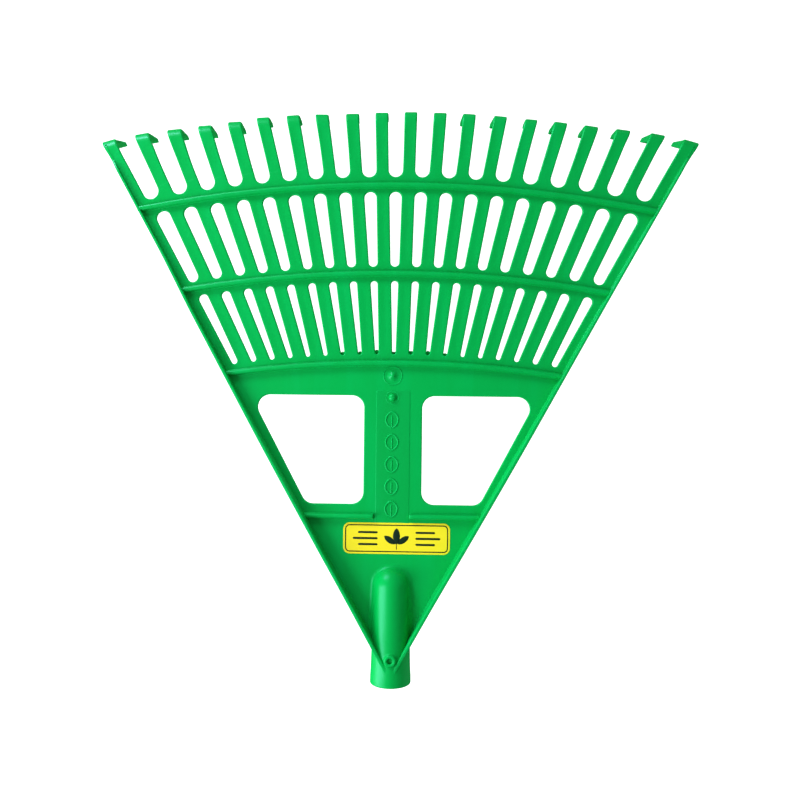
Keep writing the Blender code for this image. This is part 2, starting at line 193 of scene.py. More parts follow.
def smooth_step(x):
    x = min(max(x, 0.0), 1.0)
    return x * x * (3 - 2 * x)


# ---------------------------------------------------------------- mesh helpers
def to_row(points):
    p = np.array(points, float)
    return np.column_stack([p[:, 0], p[:, 1] - SEAT_Y, p[:, 2]]) * 0.001


def mesh_object(name, points, faces, sharp=48.0, materials=(), face_material=None):
    """A closed smooth-shaded mesh from fan-frame points. Edges sharper than `sharp` degrees stay crisp."""
    mesh = bpy.data.meshes.new(name)
    mesh.from_pydata([tuple(p) for p in to_row(points)], [], faces)
    for m in materials:
        mesh.materials.append(m)
    if face_material is not None:
        mesh.polygons.foreach_set("material_index", face_material)
    bm = bmesh.new()
    bm.from_mesh(mesh)
    bmesh.ops.recalc_face_normals(bm, faces=bm.faces)
    bm.to_mesh(mesh)
    bm.free()
    mesh.shade_smooth()
    mesh.set_sharp_from_angle(angle=math.radians(sharp))
    mesh.update()
    obj = bpy.data.objects.new(name, mesh)
    bpy.context.scene.collection.objects.link(obj)
    return obj


class Shape:
    """Collects lofts and patches in one vertex list."""

    def __init__(self):
        self.points, self.faces, self.mats = [], [], []

    def loft(self, rings, close_start=True, close_end=True, wrap=False, mat=0):
        base, n = len(self.points), len(rings[0])
        for ring in rings:
            self.points.extend([tuple(p) for p in ring])
        count = len(rings)
        for a in range(count if wrap else count - 1):
            b = (a + 1) % count
            for i in range(n):
                j = (i + 1) % n
                self.faces.append((base + a * n + i, base + a * n + j, base + b * n + j, base + b * n + i))
                self.mats.append(mat)
        if not wrap and close_start:
            self.faces.append(tuple(base + i for i in range(n)))
            self.mats.append(mat)
        if not wrap and close_end:
            self.faces.append(tuple(base + (count - 1) * n + i for i in range(n)))
            self.mats.append(mat)

    def make(self, name, **kw):
        return mesh_object(name, self.points, self.faces, face_material=self.mats, **kw)


def edge_values(obj):
    """Stores how strongly each vertex sits on a convex edge, for the material's rubbed edges."""
    mesh = obj.data
    n, m = len(mesh.vertices), len(mesh.edges)
    co, no = np.zeros(n * 3), np.zeros(n * 3)
    mesh.vertices.foreach_get("co", co)
    mesh.vertices.foreach_get("normal", no)
    ends = np.zeros(m * 2, int)
    mesh.edges.foreach_get("vertices", ends)
    co, no, ends = co.reshape(-1, 3) * 1000, no.reshape(-1, 3), ends.reshape(-1, 2)
    d = co[ends[:, 1]] - co[ends[:, 0]]
    span = np.maximum((d * d).sum(1), 1e-4)
    bend = np.full(n, -9.0)
    np.maximum.at(bend, ends[:, 0], -(d * no[ends[:, 0]]).sum(1) / span)
    np.maximum.at(bend, ends[:, 1], (d * no[ends[:, 1]]).sum(1) / span)
    value = np.clip(bend * 1.1, 0, 1)
    for _ in range(2):
        total, hits = value.copy(), np.ones(n)
        np.add.at(total, ends[:, 0], value[ends[:, 1]])
        np.add.at(total, ends[:, 1], value[ends[:, 0]])
        np.add.at(hits, ends[:, 0], 1)
        np.add.at(hits, ends[:, 1], 1)
        value = total / hits
    attribute = mesh.attributes.new("rim", "FLOAT", "POINT")
    attribute.data.foreach_set("value", value.astype(np.float32))


# ---------------------------------------------------------------- materials
def link(tree, a, b):
    tree.links.new(a, b)


def node(tree, kind, **inputs):
    n = tree.nodes.new(kind)
    for key, value in inputs.items():
        setattr(n, key, value)
    return n


def plastic(name, colour, pale, deep, roughness=0.36):
    """Semi-gloss polypropylene: slight pigment streaks, fine mould grain, faint flow lines and rubbed edges."""
    m = bpy.data.materials.new(name)
    m.use_nodes = True
    t = m.node_tree
    s = t.nodes["Principled BSDF"]
    s.inputs["IOR"].default_value = 1.49
    s.inputs["Specular IOR Level"].default_value = 0.27
    s.inputs["Specular Tint"].default_value = (0.62, 1.0, 1.3, 1.0)
    s.inputs["Sheen Weight"].default_value = 0.01
    s.inputs["Sheen Roughness"].default_value = 0.45
    where = node(t, "ShaderNodeTexCoord").outputs["Object"]

    def noise(scale, detail, stretch=None, rough=0.55):
        src = where
        if stretch:
            mapping = node(t, "ShaderNodeMapping")
            mapping.inputs["Scale"].default_value = stretch
            link(t, where, mapping.inputs["Vector"])
            src = mapping.outputs["Vector"]
        n = node(t, "ShaderNodeTexNoise")
        n.inputs["Scale"].default_value = scale
        n.inputs["Detail"].default_value = detail
        n.inputs["Roughness"].default_value = rough
        link(t, src, n.inputs["Vector"])
        return n.outputs["Fac"]

    def spread(value, low, high, out_low=0.0, out_high=1.0):
        r = node(t, "ShaderNodeMapRange")
        r.clamp = True
        for key, x in (("From Min", low), ("From Max", high), ("To Min", out_low), ("To Max", out_high)):
            r.inputs[key].default_value = x
        link(t, value, r.inputs["Value"])
        return r.outputs["Result"]

    def mix(factor, a, b):
        x = node(t, "ShaderNodeMix", data_type="RGBA")
        link(t, factor, x.inputs["Factor"])
        for socket, v in ((x.inputs[6], a), (x.inputs[7], b)):
            if isinstance(v, tuple):
                socket.default_value = (*v, 1.0)
            else:
                link(t, v, socket)
        return x.outputs[2]

    def add(a, b, factor):
        x = node(t, "ShaderNodeMath", operation="MULTIPLY_ADD")
        link(t, b, x.inputs[0])
        x.inputs[1].default_value = factor
        if isinstance(a, float):
            x.inputs[2].default_value = a
        else:
            link(t, a, x.inputs[2])
        return x.outputs[0]

    clouds = noise(14.0, 4.0)
    streaks = noise(60.0, 3.0, (1.0, 0.12, 1.0))
    grain = noise(1900.0, 2.0)
    peel = noise(210.0, 3.0, rough=0.5)
    scuffs = noise(420.0, 4.0, (1.0, 0.05, 1.0), 0.62)
    rim = node(t, "ShaderNodeAttribute", attribute_name="rim").outputs["Fac"]

    tone = mix(spread(clouds, 0.32, 0.68, 0.0, 0.55), colour, deep)
    tone = mix(spread(streaks, 0.45, 0.75, 0.0, 0.35), tone, pale)
    tone = mix(spread(rim, 0.12, 0.75, 0.0, 0.22), tone, pale)
    link(t, tone, s.inputs["Base Color"])

    rough = add(roughness - 0.06, clouds, 0.08)
    rough = add(rough, peel, 0.05)
    rough = add(rough, spread(scuffs, 0.55, 0.8), 0.12)
    rough = add(rough, rim, 0.05)
    link(t, rough, s.inputs["Roughness"])

    height = add(add(0.0, grain, 0.10), peel, 0.55)
    height = add(height, spread(scuffs, 0.6, 0.85), -0.12)
    bump = node(t, "ShaderNodeBump")
    bump.inputs["Strength"].default_value = 0.32
    bump.inputs["Distance"].default_value = 0.00022
    link(t, height, bump.inputs["Height"])
    broad = node(t, "ShaderNodeBump")
    broad.inputs["Strength"].default_value = 0.35
    broad.inputs["Distance"].default_value = 0.0007
    link(t, noise(38.0, 2.0), broad.inputs["Height"])
    link(t, bump.outputs["Normal"], broad.inputs["Normal"])
    link(t, broad.outputs["Normal"], s.inputs["Normal"])
    return m


GREEN_RGB = (0.0, 0.43, 0.080)
GREEN = plastic("green_polypropylene_look", GREEN_RGB, (0.0, 0.50, 0.125), (0.0, 0.395, 0.070))


# The spine panel gets a darker green than the web: painted shade, standing in for the duller shading of the panel's
# face.
PANEL_GREEN_PAINTED_SHADE = plastic("green_polypropylene_panel_painted_shade_look", (0.0, 0.40, 0.073), (0.0, 0.465, 0.11), (0.0, 0.37, 0.064), 0.40)


def print_film(name, colour, other, roughness):
    """Printed film: faint fibre mottling, a soft varnish sheen and fine dents."""
    m = bpy.data.materials.new(name)
    m.use_nodes = True
    t = m.node_tree
    s = t.nodes["Principled BSDF"]
    s.inputs["Coat Weight"].default_value = 0.25
    s.inputs["Coat Roughness"].default_value = 0.18
    where = node(t, "ShaderNodeTexCoord").outputs["Object"]
    fine = node(t, "ShaderNodeTexNoise")
    fine.inputs["Scale"].default_value = 900.0
    fine.inputs["Detail"].default_value = 3.0
    link(t, where, fine.inputs["Vector"])
    broad = node(t, "ShaderNodeTexNoise")
    broad.inputs["Scale"].default_value = 60.0
    broad.inputs["Detail"].default_value = 4.0
    link(t, where, broad.inputs["Vector"])
    x = node(t, "ShaderNodeMix", data_type="RGBA")
    x.inputs[6].default_value = (*colour, 1.0)
    x.inputs[7].default_value = (*other, 1.0)
    link(t, broad.outputs["Fac"], x.inputs["Factor"])
    link(t, x.outputs[2], s.inputs["Base Color"])
    r = node(t, "ShaderNodeMapRange")
    r.inputs["To Min"].default_value = roughness - 0.07
    r.inputs["To Max"].default_value = roughness + 0.09
    link(t, broad.outputs["Fac"], r.inputs["Value"])
    link(t, r.outputs["Result"], s.inputs["Roughness"])
    b = node(t, "ShaderNodeBump")
    b.inputs["Strength"].default_value = 0.15
    b.inputs["Distance"].default_value = 0.0001
    link(t, fine.outputs["Fac"], b.inputs["Height"])
    link(t, b.outputs["Normal"], s.inputs["Normal"])
    return m


FILM = print_film("label_film_look", (0.93, 0.80, 0.03), (0.90, 0.76, 0.02), 0.34)
INK = print_film("label_ink_look", (0.012, 0.035, 0.018), (0.02, 0.05, 0.026), 0.3)


# ---------------------------------------------------------------- plate skin
def dense(points, step=4.0):
    """Closed loop with long straight runs divided."""
    out = []
    n = len(points)
    for i in range(n):
        a, b = np.array(points[i], float), np.array(points[(i + 1) % n], float)
        length = np.linalg.norm(b - a)
        if length < 1e-4:
            continue
        parts = max(1, int(math.ceil(length / step)))
        out += [a + (b - a) * j / parts for j in range(parts)]
    return np.array(out)


def area(loop):
    x, y = loop[:, 0], loop[:, 1]
    return 0.5 * float(np.sum(x * np.roll(y, -1) - np.roll(x, -1) * y))


def inset(loop, distance):
    """Moves a closed loop into the material, which lies on its left."""
    before, after = loop - np.roll(loop, 1, 0), np.roll(loop, -1, 0) - loop

    def left(v):
        v = v / np.linalg.norm(v, axis=1)[:, None]
        return np.column_stack([-v[:, 1], v[:, 0]])

    n1, n2 = left(before), left(after)
    m = n1 + n2
    m /= np.linalg.norm(m, axis=1)[:, None]
    scale = 1 / np.maximum((m * n1).sum(1), 0.55)
    return loop + m * (distance * scale)[:, None]


def easing(loop):
    """How much of the edge rounding each point of the plate's outline gets: none inside the tube's wall, less in the wedge beside it."""
    out = np.ones(len(loop))
    for i, (x, y) in enumerate(loop):
        if y < DOME_Y + DOME_R:
            room = abs(x) - (socket_radius(y) - 1.6)
            if room < 0.3 and y > 26:
                out[i] = 0.06
            elif y < 60:
                out[i] = min(max(room / 4.5 - 0.05, 0.06), 1.0)
    return out


def dish(x, s, a, low, high):
    """A bar's face is slightly hollow along its middle."""
    fade = smooth_step((s - low) / 7.0) * smooth_step((high - s) / 7.0)
    return -0.16 * fade * max(0.0, 1 - (x / 2.9) ** 2)


def plate_loops():
    outer = []
    for k in range(1, TINES + 1):
        s = stub_end(k)
        left, right = bar_corner(k, s, -1), bar_corner(k, s, 1)
        if k == 1:
            left = left + SKIN * right_of(bar_angle(k))
        if k == TINES:
            right = right - SKIN * right_of(bar_angle(k))
        outer += [left, right]
        if k < TINES:
            outer += slot_points(k, U_R, False)
    y = MOUTH_Y
    while edge_x(y) < socket_radius(y) - 1.0:
        y += 0.05
    low = y
    outer.append(np.array([edge_x(low + 3) - 0.1, low + 3]))
    outer.append(np.array([edge_x(low) - 0.1, low]))
    for i in range(1, 22):
        yy = low + (DOME_Y - low) * i / 21
        outer.append(np.array([socket_radius(yy) - 1.6, yy]))
    for i in range(1, 32):
        t = math.pi * i / 32
        outer.append(np.array([(DOME_R - 1.6) * math.cos(t), DOME_Y + (DOME_R - 1.6) * math.sin(t)]))
    for i in range(21, 0, -1):
        yy = low + (DOME_Y - low) * i / 21
        outer.append(np.array([-(socket_radius(yy) - 1.6), yy]))
    outer.append(np.array([-edge_x(low) + 0.1, low]))
    outer.append(np.array([-edge_x(low + 3) + 0.1, low + 3]))
    outer = dense(outer)
    if area(outer) < 0:
        outer = outer[::-1]
    holes = []
    for row, low_r, high_r in ((3, SLOT3_BOTTOM_R, SLOT3_TOP_R), (2, SLOT2_BOTTOM_R, SLOT2_TOP_R)):
        for k in range(1, TINES):
            pinch = SLOT_PINCH[row] * max(0.0, 1 - ((k - TINES / 2) / 8.5) ** 2)
            holes.append(slot_points(k, low_r, False, pinch=pinch) + list(reversed(slot_points(k, high_r, True, pinch=pinch))))
    window = (
        fillet((window_x(172), 172), (window_x(WINDOW_BOTTOM), WINDOW_BOTTOM), (WINDOW_INNER, WINDOW_BOTTOM), WINDOW_R)
        + fillet((window_x(WINDOW_BOTTOM), WINDOW_BOTTOM), (WINDOW_INNER, WINDOW_BOTTOM), (WINDOW_INNER, WINDOW_TOP), WINDOW_R)
        + fillet((WINDOW_INNER, WINDOW_BOTTOM), (WINDOW_INNER, WINDOW_TOP), (window_x(WINDOW_TOP), WINDOW_TOP), WINDOW_R)
        + fillet((WINDOW_INNER, WINDOW_TOP), (window_x(WINDOW_TOP), WINDOW_TOP), (window_x(176), 176), WINDOW_R)
    )
    holes.append(window)
    holes.append([np.array([-p[0], p[1]]) for p in window])
    ready = [outer]
    for h in holes:
        h = dense(h)
        ready.append(h if area(h) < 0 else h[::-1])
    return ready


def bar_field():
    """Points inside the bars' faces, with the hollow's depth."""
    found = []
    for k in range(1, TINES + 1):
        a = bar_angle(k)
        d, n = along(a), right_of(a)
        for low_r, high_r in ((SLOT3_BOTTOM_R, SLOT3_TOP_R), (SLOT2_BOTTOM_R, SLOT2_TOP_R)):
            low, high = reach(a, low_r) + 1.0, reach(a, high_r) - 1.0
            count = int((high - low) / 3.6)
            for i in range(count + 1):
                s = low + (high - low) * i / count
                for x in (-2.1, -1.05, 0.0, 1.05, 2.1):
                    found.append((*(s * d + x * n), dish(x, s, a, low, high)))
    return found


def cap(loops, extra, z, shape, first, mat=0):
    """Triangulates the face inside the loops, whose vertices already lie in shape.points from `first` on."""
    flat, edges, index = [], [], []
    at = 0
    for loop, start in zip(loops, first):
        m = len(loop)
        flat += [Vector(p) for p in loop]
        edges += [(at + i, at + (i + 1) % m) for i in range(m)]
        index += [start + i for i in range(m)]
        at += m
    for x, y, dz in extra:
        flat.append(Vector((x, y)))
        index.append(len(shape.points))
        shape.points.append((x, y, z + dz))
    verts, _, faces, origin, _, _ = delaunay_2d_cdt(flat, edges, [], 1, 1e-5)
    centre = np.array([np.mean([verts[v] for v in f], axis=0) for f in faces])
    inside = np.zeros(len(faces), bool)
    for loop in loops:
        x0, y0 = loop[:, 0], loop[:, 1]
        x1, y1 = np.roll(x0, -1), np.roll(y0, -1)
        for a, b, c, d in zip(x0, y0, x1, y1):
            if b != d:
                hit = ((b > centre[:, 1]) != (d > centre[:, 1])) & (centre[:, 0] < (c - a) * (centre[:, 1] - b) / (d - b) + a)
                inside ^= hit
    if any(not o for o in origin):
        raise RuntimeError("the plate's outline crosses itself")
    for f, keep in zip(faces, inside):
        if keep:
            shape.faces.append(tuple(index[origin[v][0]] for v in f))
            shape.mats.append(mat)


def plate_skin():
    shape = Shape()
    loops = plate_loops()
    steps = 5
    profile = [(UNDER_IN + 0.25, -TOP)]
    for i in range(steps, -1, -1):
        t = math.pi / 2 * i / steps
        profile.append((UNDER_IN * (1 - math.cos(t)), -TOP + UNDER_DOWN * (1 - math.sin(t))))
    for i in range(steps + 2):
        t = math.pi / 2 * i / (steps + 1)
        profile.append((TOP_IN * (1 - math.cos(t)), TOP - TOP_DOWN * (1 - math.sin(t))))
    profile.append((TOP_IN + 0.25, TOP))
    low_first, high_first, low_loops, high_loops = [], [], [], []
    for number, loop in enumerate(loops):
        share = easing(loop) if number == 0 else 1.0
        rings = [inset(loop, u * share) if u > 0 else loop for u, _ in profile]
        base, n = len(shape.points), len(loop)
        for ring, (_, z) in zip(rings, profile):
            shape.points.extend([(p[0], p[1], z) for p in ring])
        for a in range(len(rings) - 1):
            for i in range(n):
                j = (i + 1) % n
                shape.faces.append((base + a * n + i, base + a * n + j, base + (a + 1) * n + j, base + (a + 1) * n + i))
                shape.mats.append(0)
        low_first.append(base)
        high_first.append(base + (len(rings) - 1) * n)
        low_loops.append(rings[0])
        high_loops.append(rings[-1])
    cap(low_loops, [], -TOP, shape, low_first)
    cap(high_loops, bar_field(), TOP, shape, high_first)
    return shape.make("fan_plate", materials=[GREEN])


# ---------------------------------------------------------------- side flanges
EDGE_DIR = np.array([EDGE_SLOPE, 1.0]) / math.sqrt(1 + EDGE_SLOPE**2)  # along the right-hand edge
EDGE_IN = np.array([-1.0, EDGE_SLOPE]) / math.sqrt(1 + EDGE_SLOPE**2)  # square to it, into the head


def wall_section(height, proud=0.0, base=TOP, foot=-0.2):
    """(q, z) round a flange: q inwards from its outer face."""
    tall = height - base
    w = 1.75 + 1.0 * min(max((tall - 3.5) / 6.0, 0.0), 1.0)
    draft = 0.012 * max(tall, 0.0)
    f = max(0.15, min(0.7, tall * 0.42))
    pts = [(-proud, foot), (-proud, base - 0.6)]
    # flat along the top, with a crisp outer edge and a softer inner one
    outer_r, inner_r = 0.17 * w, 0.30 * w
    for i in range(4):
        t = math.pi / 2 * i / 3
        pts.append((outer_r - (outer_r + proud) * math.cos(t), height - outer_r + outer_r * math.sin(t) + proud))
    for i in range(5):
        t = math.pi / 2 * i / 4
        pts.append((w - inner_r + (inner_r + proud) * math.sin(t), height - inner_r + inner_r * math.cos(t) + proud))
    inner_foot = w + draft * 1.35
    for i in range(9):
        t = math.pi / 2 * i / 8
        pts.append((inner_foot + f * (1 - math.cos(t)) + proud, base + f * (1 - math.sin(t)) + 0.006))
    pts.append((inner_foot + f + 0.35, base - 0.05))
    pts.append((inner_foot + f + 0.35, foot))
    return pts


def flange_rings(side, start, stop, step, top_of, proud=0.0):
    rings = []
    count = max(2, int(math.ceil((stop - start) / step)))
    for i in range(count + 1):
        y = start + (stop - start) * i / count
        p = np.array([edge_x(y, side), y])
        ring = []
        for q, z in wall_section(top_of(y), proud):
            c = p + EDGE_IN * q
            r = socket_radius(max(min(c[1], DOME_Y + DOME_R), MOUTH_Y)) - 1.05
            if abs(c[0]) < r:
                z = max(z, math.sqrt(r * r - c[0] ** 2) - 0.02 * (2 - q / 3))
            ring.append((side * c[0], c[1], z))
        rings.append(ring)
    return rings


def side_flange(side, name):
    stop = bar_corner(1, stub_end(1), -1)[1]
    shape = Shape()
    rings = flange_rings(side, 5.0, 60.0, 1.6, flange_top, 0.0)
    rings += flange_rings(side, 60.0, stop, 4.0, flange_top, 0.0)[1:]
    shape.loft(rings)
    return shape.make(name, materials=[GREEN])


# ---------------------------------------------------------------- ribs
def rib_section(scale=1.0, drop=0.0):
    """(q, z) across a rib, q = 0 on its centreline."""
    top, r, f = TOP + RIB_H * scale - drop, 1.15, 0.7 * scale
    half_top, half_foot = 1.72, 1.86
    pts = [(-half_foot - f - 0.3, TOP - 0.3), (-half_foot - f - 0.3, TOP - 0.05)]
    for i in range(7):
        t = math.pi / 2 * i / 6
        pts.append((-half_foot - f * (1 - math.sin(t)), TOP + f * (1 - math.cos(t)) + 0.006))
    for i in range(9):
        t = math.pi * i / 8
        pts.append((-half_top * math.cos(t), top - r + r * math.sin(t)))
    for i in range(7):
        t = math.pi / 2 * i / 6
        pts.append((half_foot + f * (1 - math.cos(t)), TOP + f * (1 - math.sin(t)) + 0.006))
    pts += [(half_foot + f + 0.3, TOP - 0.05), (half_foot + f + 0.3, TOP - 0.3)]
    return pts


def arc_rib(name, radius):
    low, high = 0.0, math.radians(20)
    centre = np.array([0.0, ARC_Y])
    for _ in range(50):
        mid = (low + high) / 2
        p = centre + radius * along(mid)
        low, high = (mid, high) if p[0] < inside_edge(p[1]) + 1.0 else (low, mid)
    rings = []
    for i in range(121):
        a = -low + 2 * low * i / 120
        c, out = centre + radius * along(a), along(a)
        rings.append([(*(c + out * q), z) for q, z in rib_section()])
    shape = Shape()
    shape.loft(rings)
    return shape.make(name, materials=[GREEN])


def shoulder_rib(side, name):
    y = SHOULDER_RIB_Y
    inner = SHOULDER_RIB_INNER + (1.3 if side < 0 else 0.0)
    stop = inside_edge(y) + 1.2
    rings = []
    # the inner end is rounded over and meets the plate in a small fillet
    ends = [(0.0, 0.02), (0.20, 0.10), (0.32, 0.45), (0.38, 0.76), (0.50, 0.90), (0.72, 0.97), (1.0, 1.0)]
    for dx, scale in ends:
        rings.append([(side * (inner - 0.3 + dx), y + q, z) for q, z in rib_section(max(scale, 0.25), (1 - scale) * RIB_H * 0.25)])
    for i in range(1, 25):
        x = inner + 0.7 + (stop - inner - 0.7) * i / 24
        rings.append([(side * x, y + q, z) for q, z in rib_section()])
    shape = Shape()
    shape.loft(rings)
    return shape.make(name, materials=[GREEN])


# ---------------------------------------------------------------- socket
def turned_rings(profile, segments):
    rings = []
    for y, r in profile:
        rings.append([(r * math.cos(2 * math.pi * i / segments), y, r * math.sin(2 * math.pi * i / segments)) for i in range(segments)])
    return rings


def smooth_outer(n=70):
    """The tube's outer line with its corners eased."""
    ys = np.linspace(MOUTH_Y + 1.4, DOME_Y, n)
    raw = np.array([socket_radius(y) for y in ys])
    kernel = np.hanning(9)
    kernel /= kernel.sum()
    padded = np.concatenate([np.full(4, raw[0]), raw, raw[-1] + (raw[-1] - raw[-2]) * np.arange(1, 5)])
    return list(zip(ys, np.convolve(padded, kernel, "valid")))


def handle_socket():
    shape = Shape()
    segments = 144
    lip_r = socket_radius(MOUTH_Y + 1.4)
    outer = [(MOUTH_Y + 0.9 * (1 - math.sin(t)), lip_r - 0.9 * (1 - math.cos(t))) for t in (math.pi / 2 * (1 - i / 7) for i in range(8))]
    profile = outer + smooth_outer()
    for i in range(1, 24):
        t = math.pi / 2 * i / 24
        profile.append((DOME_Y + DOME_R * math.sin(t), DOME_R * math.cos(t)))
    base = len(shape.points)
    bore = [(MOUTH_Y, lip_r - 1.2), (MOUTH_Y, BORE_MOUTH_R + 0.7)]
    bore += [(MOUTH_Y + 0.6 * (1 - math.cos(t)), BORE_MOUTH_R + 0.1 + 0.6 * (1 - math.sin(t))) for t in (math.pi / 2 * i / 5 for i in range(6))]
    bore += [(y, BORE_MOUTH_R + (BORE_END_R - BORE_MOUTH_R) * (y - MOUTH_Y) / (SEAT_Y - MOUTH_Y)) for y in np.linspace(MOUTH_Y + 2, SEAT_Y - 1.0, 30)]
    bore += [(SEAT_Y - 1.0 * (1 - math.sin(t)), BORE_END_R - 1.0 * (1 - math.cos(t))) for t in (math.pi / 2 * i / 6 for i in range(1, 7))]
    bore += [(SEAT_Y, r) for r in (8.0, 5.0, 2.0)]
    rings = turned_rings(list(reversed(profile)) + bore, segments)
    shape.loft(rings, close_start=False, close_end=False)
    n = segments
    tip = len(shape.points)
    shape.points.append((0.0, DOME_Y + DOME_R, 0.0))
    for i in range(n):
        shape.faces.append((tip, base + (i + 1) % n, base + i))
        shape.mats.append(0)
    last = base + (len(rings) - 1) * n
    end = len(shape.points)
    shape.points.append((0.0, SEAT_Y, 0.0))
    for i in range(n):
        shape.faces.append((end, last + i, last + (i + 1) % n))
        shape.mats.append(0)
    obj = shape.make("handle_socket_skin", materials=[GREEN])
    # the recess in the upper wall in which the boss with its blind pilot sits
    drill = Shape()
    rings = [[(2.9 * math.cos(2 * math.pi * i / 48), BOSS_Y + 2.9 * math.sin(2 * math.pi * i / 48), z) for i in range(48)] for z in (13.6, 19.0)]
    drill.loft(rings)
    tool = drill.make("socket_drill")
    mod = obj.modifiers.new("hole", "BOOLEAN")
    mod.operation, mod.solver, mod.object = "DIFFERENCE", "EXACT", tool
    bpy.context.view_layer.update()
    cut = bpy.data.meshes.new_from_object(obj.evaluated_get(bpy.context.evaluated_depsgraph_get()))
    obj.modifiers.clear()
    obj.data = cut
    bpy.data.objects.remove(tool, do_unlink=True)
    cut.shade_smooth()
    cut.set_sharp_from_angle(angle=math.radians(40))
    return obj


def screw_boss():
    shape = Shape()
    rings = []
    for i in range(64):
        a = 2 * math.pi * i / 64
        c, s = math.cos(a), math.sin(a)

        def surface(r):
            y = BOSS_Y + r * s
            return math.sqrt(socket_radius(y) ** 2 - (r * c) ** 2)

        pts = [(6.1, -0.06), (5.7, 0.03), (5.3, 0.12), (4.95, 0.3), (4.68, 0.58), (4.5, 0.95)]
        ring = [(r * c, BOSS_Y + r * s, surface(r) + h) for r, h in pts]
        for j in range(7):
            t = math.pi / 2 * j / 6
            ring.append(((BOSS_R - 0.75 * (1 - math.cos(t))) * c, BOSS_Y + (BOSS_R - 0.75 * (1 - math.cos(t))) * s, BOSS_TOP - 0.75 * (1 - math.sin(t))))
        for j in range(7):
            t = math.pi / 2 * (1 - j / 6)
            r = BOSS_HOLE_R + 0.7 * (1 - math.cos(t))
            ring.append((r * c, BOSS_Y + r * s, BOSS_TOP - 0.7 * (1 - math.sin(t))))
        floor_z = BOSS_TOP - BOSS_HOLE_DEPTH
        for r, h in ((BOSS_HOLE_R, 0.6), (BOSS_HOLE_R - 0.12, 0.25), (BOSS_HOLE_R - 0.45, 0.05), (1.2, 0.0), (0.45, 0.0)):
            ring.append((r * c, BOSS_Y + r * s, floor_z + h))
        ring.append((0.45 * c, BOSS_Y + 0.45 * s, 12.95))
        ring.append((3.4 * c, BOSS_Y + 3.4 * s, 12.95))
        ring.append((6.1 * c, BOSS_Y + 6.1 * s, surface(6.1) - 0.7))
        rings.append(ring)
    shape.loft(rings, wrap=True)
    shape.loft([[(0.47 * math.cos(2 * math.pi * i / 24), BOSS_Y + 0.47 * math.sin(2 * math.pi * i / 24), z) for i in range(24)] for z in (13.2, floor_z - 0.01)])
    return shape.make("screw_boss", materials=[GREEN])


def socket_fillet(name, up, f=4.0):
    """The hollow curve in which the tube runs out into the web, on one face of it."""
    path = []
    for i in range(26):
        y = 30.5 + (DOME_Y - 30.5) * i / 25
        path.append((np.array([0.0, y]), 0.0, socket_radius(y)))
    for i in range(1, 36):
        path.append((np.array([0.0, DOME_Y]), math.pi * i / 36, DOME_R))
    for i in range(26):
        y = DOME_Y + (30.5 - DOME_Y) * i / 25
        path.append((np.array([0.0, y]), math.pi, socket_radius(y)))
    rings = []
    for c, a, r in path:
        out = np.array([math.cos(a), math.sin(a)])
        hx, hz = math.sqrt((r + f) ** 2 - (TOP + f) ** 2), TOP + f
        start = math.pi  # towards the tube
        to_tube = math.atan2(-hz, -hx)
        pts = []
        for j in range(11):
            t = -math.pi / 2 + (to_tube - (-math.pi / 2)) * j / 10
            pts.append((hx + f * math.cos(t), hz + f * math.sin(t)))
        pts = [(hx + 0.4, TOP - 0.04)] + [(x, z + 0.004) for x, z in pts]
        top = pts[-1]
        pts.append((top[0] - 0.75, top[1] + 0.35))
        pts.append((r - 1.3, TOP - 0.3))
        pts.append((hx + 0.4, TOP - 0.3))
        rings.append([(*(c + out * x), up * z) for x, z in pts])
    shape = Shape()
    shape.loft(rings)
    return shape.make(name, materials=[GREEN])


# ---------------------------------------------------------------- free tines
def section(left, right, t_in, t_down, u_in, u_down, hollow):
    """Ring of (across in mm, height as a share of the half-thickness, depth in mm below that) round a tine."""
    n = 5
    pts = []
    inner_l, inner_r = -(left - t_in), right - t_in
    for j in range(9):
        x = inner_l + 0.22 + (inner_r - inner_l - 0.44) * j / 8
        mid = (x - (inner_l + inner_r) / 2) / max((inner_r - inner_l) / 2, 0.1)
        pts.append((x, 1.0, -hollow * max(0.0, 1 - mid * mid)))
    for j in range(n + 1):
        t = math.pi / 2 * j / n
        pts.append((right - t_in * (1 - math.sin(t)), 1.0, -t_down * (1 - math.cos(t))))
    for j in range(n + 1):
        t = math.pi / 2 * j / n
        pts.append((right - u_in * (1 - math.cos(t)), -1.0, u_down * (1 - math.sin(t))))
    for j in range(5):
        x = (right - u_in - 0.22) + (-(left - u_in - 0.22) - (right - u_in - 0.22)) * j / 4
        pts.append((x, -1.0, 0.0))
    for j in range(n + 1):
        t = math.pi / 2 * j / n
        pts.append((-(left - u_in * (1 - math.sin(t))), -1.0, u_down * (1 - math.cos(t))))
    for j in range(n + 1):
        t = math.pi / 2 * j / n
        pts.append((-(left - t_in * (1 - math.cos(t))), 1.0, -t_down * (1 - math.sin(t))))
    return pts


